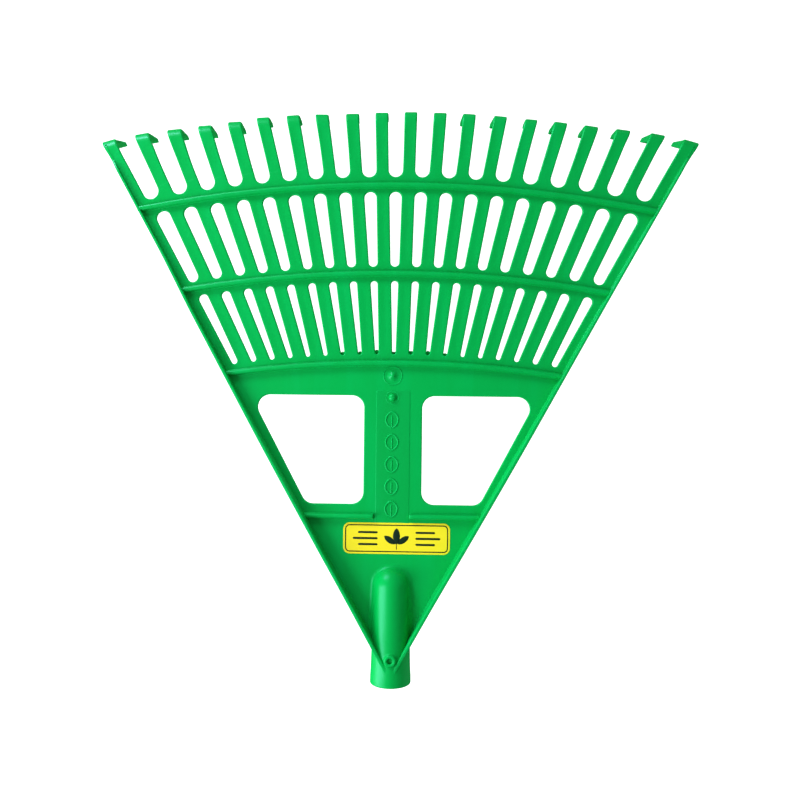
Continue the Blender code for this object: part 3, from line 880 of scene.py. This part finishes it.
# No two tines are set alike: sideways set of the tip and extra reach in mm, turn of the end edge in degrees, sideways
# and outward set of the hook in mm, and how much the blade narrows towards the bend in mm.
TINE_SET = {
    1: (-0.5, 1.5, 4, 0.0, 0.9, -1.2),
    2: (0.8, 1.4, 8, -1.0, -1.1, -1.2),
    3: (1.4, 0.3, 10, -1.7, -2.1, -1.3),
    4: (1.0, -0.2, 9, -1.8, -3.4, -0.8),
    5: (0.6, -0.1, 8, -1.7, -3.3, -0.7),
    6: (-0.4, 1.1, 6, -1.2, -1.1, -0.3),
    7: (-0.3, 0.8, 3.5, -0.5, -1.4, -0.5),
    8: (-0.9, 0.1, 6, -3.0, 0.7, -0.6),
    9: (-0.1, -0.4, 2, 0.1, 0.4, -0.6),
    10: (0.0, 0.0, 1, 1.2, -0.2, -0.4),
    11: (-0.3, 0.5, -1, -0.2, -0.1, -0.3),
    12: (-0.5, 0.4, -2, 0.7, 0.3, -0.4),
    13: (-1.0, 0.4, -2, -2.6, -3.4, -0.4),
    14: (0.1, 0.3, -2, -2.4, -3.6, -0.4),
    15: (0.7, 0.0, -5, 0.4, -0.5, 0.2),
    16: (-0.2, 0.1, -4, -0.6, -3.6, -0.4),
    17: (-0.5, 0.2, -5, -0.1, -3.5, -0.9),
    18: (-0.5, 1.1, -8, 1.3, -1.0, -1.2),
    19: (1.0, 2.8, -7, -1.3, -1.4, -1.2),
    20: (0.9, 2.7, -4, -2.0, 0.0, -1.2),
}


def tine_rings(k, tine_set):
    sway, extra, turned, hook_side, hook_out, slim = tine_set
    a = bar_angle(k)
    d, n = along(a), right_of(a)
    edge = right_of(a * SKEW + math.radians(turned))
    lean = along(a * LEAN_TURN) * HOOK_LEAN + n * hook_side + d * hook_out
    end = reach(a, TIP_R) + extra
    begin = stub_end(k) - 2.0
    shear = float(edge @ d) / float(edge @ n)
    inner_r = 2.2
    rings = []

    def half_widths(s, share):
        """share: 0 on the flat, then up to 1 at the tip of the hook."""
        left = right = BAR_W / 2 - SKIN
        if k == 1:
            left = edge_offset(k, min(s, end - 3.0)) - SKIN
        if k == TINES:
            right = edge_offset(k, min(s, end - 3.0)) - SKIN
        far = begin + 12.0 if k in range(2, TINES - 2) else end - 17.0
        narrow = slim / 2 * smooth_step((s - far) / (end - 3.0 - far))
        left, right = left - narrow, right - narrow
        tip = HOOK_TIP_W / 2
        return left + (tip - left) * share, right + (tip - right) * share

    def ring(so, zo, si, zi, normal, turn, share, rounding, hollow, squeeze=(1.0, 1.0), shift=None):
        """so, zo and si, zi: outer and inner points in side view. normal: (u, z) of the outer face there."""
        left, right = half_widths(min(so, si) if share > 0 else (so + si) / 2, share)
        left, right = left * squeeze[0], right * squeeze[0]
        half = 0.5 * ((so - si) * normal[0] + (zo - zi) * normal[1])
        mid_s, mid_z = (so + si) / 2, (zo + zi) / 2
        th_s, th_z = (so - si) / 2 * squeeze[1], (zo - zi) / 2 * squeeze[1]
        half *= squeeze[1]
        t_in, t_down, u_in, u_down = rounding
        t_in, u_in = min(t_in, left * 0.8, right * 0.8), min(u_in, left * 0.8, right * 0.8)
        t_down, u_down = min(t_down, half * 0.9), min(u_down, half * 0.9)
        out = []
        for x, h, dz in section(left, right, t_in, t_down, u_in, u_down, hollow):
            g = h + dz / half
            along_s = mid_s + th_s * g
            bent = max(0.0, (along_s - begin - 4.0) / (end - begin - 4.0)) ** 1.8
            p = along_s * d + x * (n + turn * shear * d) + sway * bent * n
            if shift is not None:
                p = p + shift(mid_z + th_z * g)
            out.append((p[0], p[1], mid_z + th_z * g))
        rings.append(out)

    flat = (TOP_IN, TOP_DOWN, UNDER_IN, UNDER_DOWN)
    crisp = (1.15, 0.95, 0.9, 0.8)
    thick = TOP - SKIN
    outer_stop, inner_stop = end - BEND_R, end - HOOK_ROOT_T - inner_r
    steps = 22
    for i in range(steps + 1):
        f = i / steps
        so, si = begin + (outer_stop - begin) * f, begin + (inner_stop - begin) * f
        turn = smooth_step((f - 0.1) / 0.9) if f > 0.1 else 0.0
        hollow = 0.18 * smooth_step((f - 0.16) / 0.15) * smooth_step((1.0 - f) / 0.18)
        mixed = tuple(x + (y - x) * smooth_step((f - 0.8) / 0.2) for x, y in zip(flat, crisp))
        ring(so, thick, si, -thick, (0.0, 1.0), turn, 0.0, mixed, hollow)
    span = TOP + HOOK_DEPTH - (BEND_R - TOP)

    def share_at(z):
        return min(max((-z - (BEND_R - TOP)) / span, 0.0), 1.0)

    def lean_by(z):
        return lean * share_at(z)

    for i in range(1, 13):
        t = math.pi / 2 * i / 12
        so, zo = end - BEND_R + BEND_R * math.sin(t), thick - BEND_R + BEND_R * math.cos(t)
        si, zi = end - HOOK_ROOT_T - inner_r + inner_r * math.sin(t), -thick - inner_r + inner_r * math.cos(t)
        ring(so, zo, si, zi, (math.sin(t), math.cos(t)), 1.0, share_at((zo + zi) / 2), crisp, 0.0, shift=lean_by)
    zo0, zi0 = thick - BEND_R, -thick - inner_r
    tip_z = -TOP - HOOK_DEPTH
    round_z = tip_z + 2.5
    for i in range(1, 15):
        f = i / 14
        zo, zi = zo0 + (round_z - zo0) * f, zi0 + (round_z - zi0) * f
        share = share_at((zo + zi) / 2)
        thin = HOOK_ROOT_T + (HOOK_TIP_T - HOOK_ROOT_T) * share
        ring(end, zo, end - thin, zi, (1.0, 0.0), 1.0, share, crisp, 0.0, shift=lean_by)
    share = share_at(round_z)
    thin = HOOK_ROOT_T + (HOOK_TIP_T - HOOK_ROOT_T) * share
    for i in range(1, 9):
        t = math.pi / 2 * i / 8
        z = round_z - 2.5 * math.sin(t)
        c = max(math.cos(t), 0.12)
        pull = thin * (1 - (0.25 + 0.75 * c)) / 2
        ring(end, z, end - thin, z, (1.0, 0.0), 1.0, share, crisp, 0.0, (c, 0.25 + 0.75 * c), lean_by)
    return rings


def tine(k):
    shape = Shape()
    shape.loft(tine_rings(k, TINE_SET.get(k, (0.0,) * 6)))
    if k in (1, TINES):
        side = -1 if k == 1 else 1
        start = bar_corner(1, stub_end(1), -1)[1] - 2.0
        stop = 407.0

        def low_wall(y):
            full = flange_top(y) - SKIN
            return full if y < FLANGE_RISE_Y else full + (TOP - 1.5 - full) * smooth_step(min(1.0, (1.35 if side < 0 else 1.0) * (y - FLANGE_RISE_Y) / (stop - FLANGE_RISE_Y)))

        shape.loft(flange_rings(side, start, stop, 1.2, low_wall, -0.01))
    obj = shape.make(f"tine_{k:02d}_skin", materials=[GREEN])
    return obj


def slot_flash():
    """Ragged skins of plastic left in the lower ends of the middle slots of the row nearest the socket."""
    shape = Shape()
    for k in range(7, 14):
        pinch = SLOT_PINCH[3] * max(0.0, 1 - ((k - TINES / 2) / 8.5) ** 2)
        s, r = slot_end(k, SLOT3_BOTTOM_R, False, pinch)
        g = gap_angle(k)
        d, n = along(g), right_of(g)
        depth = 1.5 + 0.8 * math.sin(2.3 * k)
        loop = []
        for i in range(9):
            t = math.pi + math.pi * i / 8
            loop.append(s * d + (r + 0.35) * (math.cos(t) * n + math.sin(t) * d))
        for i in range(7):
            u = 1 - 2 * i / 6
            rag = 0.45 * math.sin(3.1 * i + 1.7 * k) - 0.5 * abs(u)
            loop.append((s + depth + rag) * d + u * (r + 0.35) * n)
        loop = np.array(loop)
        if area(loop) < 0:
            loop = loop[::-1]
        shape.loft([[(p[0], p[1], z) for p in (inset(loop, u) if u else loop)] for u, z in ((0.08, -TOP + 0.1), (0.0, -TOP + 0.2), (0.0, -TOP + 0.35), (0.1, -TOP + 0.45))])
    return shape.make("slot_flash", materials=[GREEN], sharp=50)


# ---------------------------------------------------------------- small moulded marks
def ring_mark(shape, x, y, radius, line, high):
    rings = []
    for i in range(64):
        a = 2 * math.pi * i / 64
        c, s = math.cos(a), math.sin(a)
        ring = []
        for j in range(9):
            t = math.pi * j / 8
            r = radius + line / 2 * math.cos(t)
            ring.append((x + r * c, y + r * s, TOP - 0.08 + (high + 0.08) * math.sin(t)))
        ring.append((x + radius * c, y + radius * s, TOP - 0.3))
        rings.append(ring)
    shape.loft(rings, wrap=True)


def dome_mark(shape, x, y, profile, segments=40):
    """profile: (r, z above the plate) from the rim to the top; the last radius is small."""
    rings = [[(x + profile[0][0] * math.cos(2 * math.pi * i / segments), y + profile[0][0] * math.sin(2 * math.pi * i / segments), TOP - 0.3) for i in range(segments)]]
    for r, z in profile:
        rings.append([(x + r * math.cos(2 * math.pi * i / segments), y + r * math.sin(2 * math.pi * i / segments), TOP + z) for i in range(segments)])
    shape.loft(rings)


def gate_marks():
    shape = Shape()
    x, y = -0.6, 231.4
    ring_mark(shape, x, y, 7.1, 0.8, 0.3)
    dome_mark(shape, x, y, [(4.6, -0.03), (3.8, 0.12), (3.0, 0.4), (2.2, 0.85), (1.5, 1.35), (0.95, 1.7), (0.55, 1.88), (0.2, 1.93)])
    y = 214.6
    ring_mark(shape, x, y, 4.9, 0.9, 0.34)
    dome_mark(shape, x, y, [(3.0, -0.03), (2.92, 0.45), (2.72, 1.05), (2.35, 1.6), (1.75, 2.1), (1.05, 2.4), (0.35, 2.5)])
    return shape.make("gate_marks", materials=[GREEN], sharp=60)


def spine_panel():
    """The panel on the spine stands a hair above the web, with a soft edge."""
    shape = Shape()
    corners = [(-13.0, 117.0), (13.0, 117.0), (13.0, 220.0), (-13.0, 220.0)]
    loop = []
    for i in range(4):
        loop += fillet(corners[i - 1], corners[i], corners[(i + 1) % 4], 1.2, 5)
    loop = dense(loop, 6.0)
    if area(loop) < 0:
        loop = loop[::-1]
    profile = [(0.0, -0.2), (0.0, 0.02), (0.1, 0.1), (0.28, 0.16), (0.5, 0.18), (0.8, 0.18)]
    rings = []
    for u, z in profile:
        rings.append([(p[0], p[1], TOP + z) for p in (inset(loop, u) if u else loop)])
    shape.loft(rings)
    # the panel's darker green is painted shade
    return shape.make("spine_panel", materials=[PANEL_GREEN_PAINTED_SHADE], sharp=60)


def leaf_outline(cx, cy, half_l, half_w, turn, count=28):
    """Pointed oval, its long axis turned from +Y."""
    d, n = along(turn), right_of(turn)
    pts = []
    for i in range(count):
        t = 2 * math.pi * i / count
        v = math.cos(t)
        w = math.sin(t) * (1 - abs(v) ** 3 * 0.35)
        pts.append(np.array([cx, cy]) + d * half_l * v + n * half_w * w)
    return np.array(pts)


def raised_line(shape, pts, width, high, closed, base=TOP + 0.18, mat=0):
    """A low rounded bead along a line of plan points."""
    pts = np.array(pts, float)
    if closed:
        tangent = np.roll(pts, -1, 0) - np.roll(pts, 1, 0)
    else:
        tangent = np.gradient(pts, axis=0)
    tangent /= np.linalg.norm(tangent, axis=1)[:, None]
    rings = []
    for i, (p, t) in enumerate(zip(pts, tangent)):
        n = np.array([t[1], -t[0]])
        grow = 1.0
        if not closed and i in (0, len(pts) - 1):
            grow = 0.35
        ring = []
        for j in range(7):
            u = math.pi * j / 6
            ring.append((*(p + n * width / 2 * grow * math.cos(u)), base - 0.06 + (high * grow + 0.06) * math.sin(u)))
        ring.append((*p, base - 0.25))
        rings.append(ring)
    shape.loft(rings, wrap=closed)


def spine_leaves():
    """A column of plain raised leaf outlines."""
    shape = Shape()
    for i in range(5):
        y = 197.6 - 17.1 * i
        raised_line(shape, leaf_outline(-0.8, y, 6.1, 4.7, 0.0), 1.35, 0.46, True)
        raised_line(shape, [np.array([-0.8, y - 6.0 + 9.6 * j / 8]) for j in range(9)], 1.1, 0.4, False)
    return shape.make("spine_leaves", materials=[GREEN], sharp=60)


# ---------------------------------------------------------------- label
def label():
    shape = Shape()
    box = [np.array([LABEL_X + a * LABEL_HALF_X, LABEL_Y + b * LABEL_HALF_Y]) for a, b in ((-1, -1), (1, -1), (1, 1), (-1, 1))]
    loop = []
    for i in range(4):
        loop += fillet(box[i - 1], box[i], box[(i + 1) % 4], LABEL_R, 12)
    loop = dense(loop, 5.0)
    if area(loop) < 0:
        loop = loop[::-1]
    low = TOP - 0.05
    rings = [[(p[0], p[1], z) for p in (inset(loop, u) if u else loop)] for u, z in ((0, low), (0, TOP + 0.12), (0.05, TOP + 0.18), (0.15, TOP + 0.21), (0.4, TOP + 0.22))]
    shape.loft(rings)
    top = TOP + 0.22

    def patch(points, high=0.035):
        points = np.array(points)
        if area(points) < 0:
            points = points[::-1]
        shape.loft([[(p[0], p[1], z) for p in q] for q, z in ((points, top - 0.03), (points, top + high * 0.6), (inset(points, 0.05), top + high))], mat=1)

    def band(outer, inner, high=0.035):
        """A printed line between two matching loops."""
        rings = []
        for z, pick in ((top - 0.03, 0), (top + high, 0), (top + high, 1), (top - 0.03, 1)):
            rings.append([(p[0], p[1], z) for p in (outer, inner)[pick]])
        shape.loft(rings, wrap=True, mat=1)

    band(inset(loop, 1.5), inset(loop, 2.3))
    # a spray of three leaves on a stem, and plain bars either side
    cx, cy = LABEL_X, LABEL_Y
    for turn, dx, dy, size in ((0.0, 0.0, 1.6, 1.0), (-0.95, -5.2, -1.2, 0.82), (0.95, 5.2, -1.2, 0.82)):
        patch(leaf_outline(cx + dx, cy + dy, 6.2 * size, 2.7 * size, turn, 40))
    stem = [np.array([cx - 0.35, cy - 8.4]), np.array([cx + 0.35, cy - 8.4]), np.array([cx + 0.22, cy - 4.0]), np.array([cx - 0.22, cy - 4.0])]
    patch(stem)
    for side in (-1, 1):
        for j, length in enumerate((15.0, 19.0, 15.0)):
            x0 = cx + side * 14.5
            x1 = x0 + side * length
            y0 = cy + (j - 1) * 4.6
            bar = []
            a, b = min(x0, x1), max(x0, x1)
            for i in range(17):
                t = -math.pi / 2 + math.pi * i / 16
                bar.append(np.array([b - 0.8 + 0.8 * math.cos(t), y0 + 0.8 * math.sin(t)]))
            for i in range(17):
                t = math.pi / 2 + math.pi * i / 16
                bar.append(np.array([a + 0.8 + 0.8 * math.cos(t), y0 + 0.8 * math.sin(t)]))
            patch(bar)
    return shape.make("badge", materials=[FILM, INK], sharp=30)


# ---------------------------------------------------------------- assembly
head = []


def head_piece(obj, *nodes, slot="green_polypropylene"):
    edge_values(obj)
    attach(obj, "head")
    if nodes:
        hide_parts(*nodes)
    head.append(obj)


head_piece(
    plate_skin(),
    "shoulder_web", "centre_spine", "left_strut", "right_strut", "bridge_web", "left_rail", "right_rail",
    "outer_band_left", "outer_band_mid_left", "outer_band_mid_right", "outer_band_right",
    *[f"radial_bar_{k:02d}" for k in range(2, TINES)],
)
head_piece(side_flange(-1, "left_flange_skin"), "left_flange")
head_piece(side_flange(1, "right_flange_skin"), "right_flange")
head_piece(arc_rib("inner_arc_rib_skin", INNER_RIB_R), "inner_arc_rib")
head_piece(arc_rib("middle_arc_rib_skin", MIDDLE_RIB_R), "middle_arc_rib")
head_piece(arc_rib("outer_arc_rib_skin", OUTER_RIB_R), "outer_arc_rib")
head_piece(shoulder_rib(-1, "left_shoulder_rib_skin"), "left_shoulder_rib")
head_piece(shoulder_rib(1, "right_shoulder_rib_skin"), "right_shoulder_rib")
head_piece(handle_socket(), "handle_socket")
head_piece(screw_boss())
head_piece(socket_fillet("socket_fillet_top", 1))
head_piece(socket_fillet("socket_fillet_under", -1))
head_piece(slot_flash())
head_piece(gate_marks())
head_piece(spine_panel())
head_piece(spine_leaves())
head_piece(label(), "label", slot="label_film")

for k in range(1, TINES + 1):
    obj = tine(k)
    edge_values(obj)
    name = f"tine_{k:02d}"
    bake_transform(obj)
    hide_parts(name)

# ---------------------------------------------------------------- floor, light, camera
scene = bpy.context.scene


def stage_piece(name, profile, bounce):
    """A surface of revolution about the vertical, given as (radius, height above the floor) in metres."""
    mesh = bpy.data.meshes.new(name)
    z, turns = -0.052, 72  # under the hook tips at the tines' lower limit
    points, faces = [], []
    for r, h in profile:
        points += [(r * math.cos(2 * math.pi * i / turns), r * math.sin(2 * math.pi * i / turns), z + h) for i in range(turns)]
    for i in range(turns):
        j = (i + 1) % turns
        for row in range(len(profile) - 1):
            base = row * turns
            faces.append((base + i, base + turns + i, base + turns + j, base + j))
    if profile[0][0] < 0.01:
        faces.append(tuple(range(turns)))
    mesh.from_pydata(points, [], faces)
    mesh.shade_smooth()
    m = bpy.data.materials.new(name + "_look")
    m.use_nodes = True
    s = m.node_tree.nodes["Principled BSDF"]
    s.inputs["Base Color"].default_value = (0.3, 0.3, 0.3, 1)
    s.inputs["Roughness"].default_value = 0.9
    s.inputs["Specular IOR Level"].default_value = 0.1
    s.inputs["Emission Color"].default_value = (1, 1, 1, 1)
    s.inputs["Emission Strength"].default_value = 0.93
    mesh.materials.append(m)
    obj = bpy.data.objects.new(name, mesh)
    scene.collection.objects.link(obj)
    obj.visible_glossy = False
    obj.visible_diffuse = bounce
    obj.visible_shadow = False


# a plain pale floor that lights the sides and the underside from below, curving up into a pale surround that does not
stage_piece("floor", [(0.001, 0.0), (1.0, 0.0), (2.4, 0.0)], True)
curve = [(2.4 + 0.8 * math.sin(math.pi / 2 * i / 10), 0.8 - 0.8 * math.cos(math.pi / 2 * i / 10)) for i in range(11)]
stage_piece("surround", curve + [(3.2, 1.8), (3.2, 4.0)], False)

world = bpy.data.worlds.new("studio")
scene.world = world
world.use_nodes = True
world.node_tree.nodes["Background"].inputs["Color"].default_value = (1.0, 1.0, 0.92, 1)
world.node_tree.nodes["Background"].inputs["Strength"].default_value = 0.44
world.cycles_visibility.glossy = False


def panel(name, place, aim, size, power, colour=(1, 1, 1)):
    light = bpy.data.lights.new(name, "AREA")
    light.shape = "RECTANGLE"
    light.size, light.size_y = size
    light.energy = power
    light.color = colour
    obj = bpy.data.objects.new(name, light)
    obj.location = place
    obj.rotation_mode = "QUATERNION"
    obj.rotation_quaternion = (Vector(aim) - Vector(place)).to_track_quat("-Z", "Y")
    scene.collection.objects.link(obj)


panel("key", (-0.70, -0.20, 0.386), (-0.02, 0.12, 0.0), (0.36, 0.8), 7.3, (0.93, 1.0, 1.14))
panel("rim", (-0.70, 1.10, 0.47), (-0.18, 0.36, 0.0), (0.40, 0.30), 9.6, (0.88, 1.0, 1.22))

scene.view_settings.view_transform = "Standard"
scene.view_settings.look = "Medium High Contrast"

CAM_PLACE = (0.02106, 0.14268, 0.61126)
CAM_TURN = (-0.056, 1.497, 0.634)  # rotation about X, Y, Z in degrees, from straight down
CAM_LENS = 35.82
cam_data = bpy.data.cameras.new("camera")
cam_data.sensor_width = 36.0
cam_data.lens = CAM_LENS
cam_data.clip_start, cam_data.clip_end = 0.01, 20.0
cam = bpy.data.objects.new("camera", cam_data)
cam.location = CAM_PLACE
cam.rotation_euler = tuple(math.radians(x) for x in CAM_TURN)
scene.collection.objects.link(cam)
scene.camera = cam
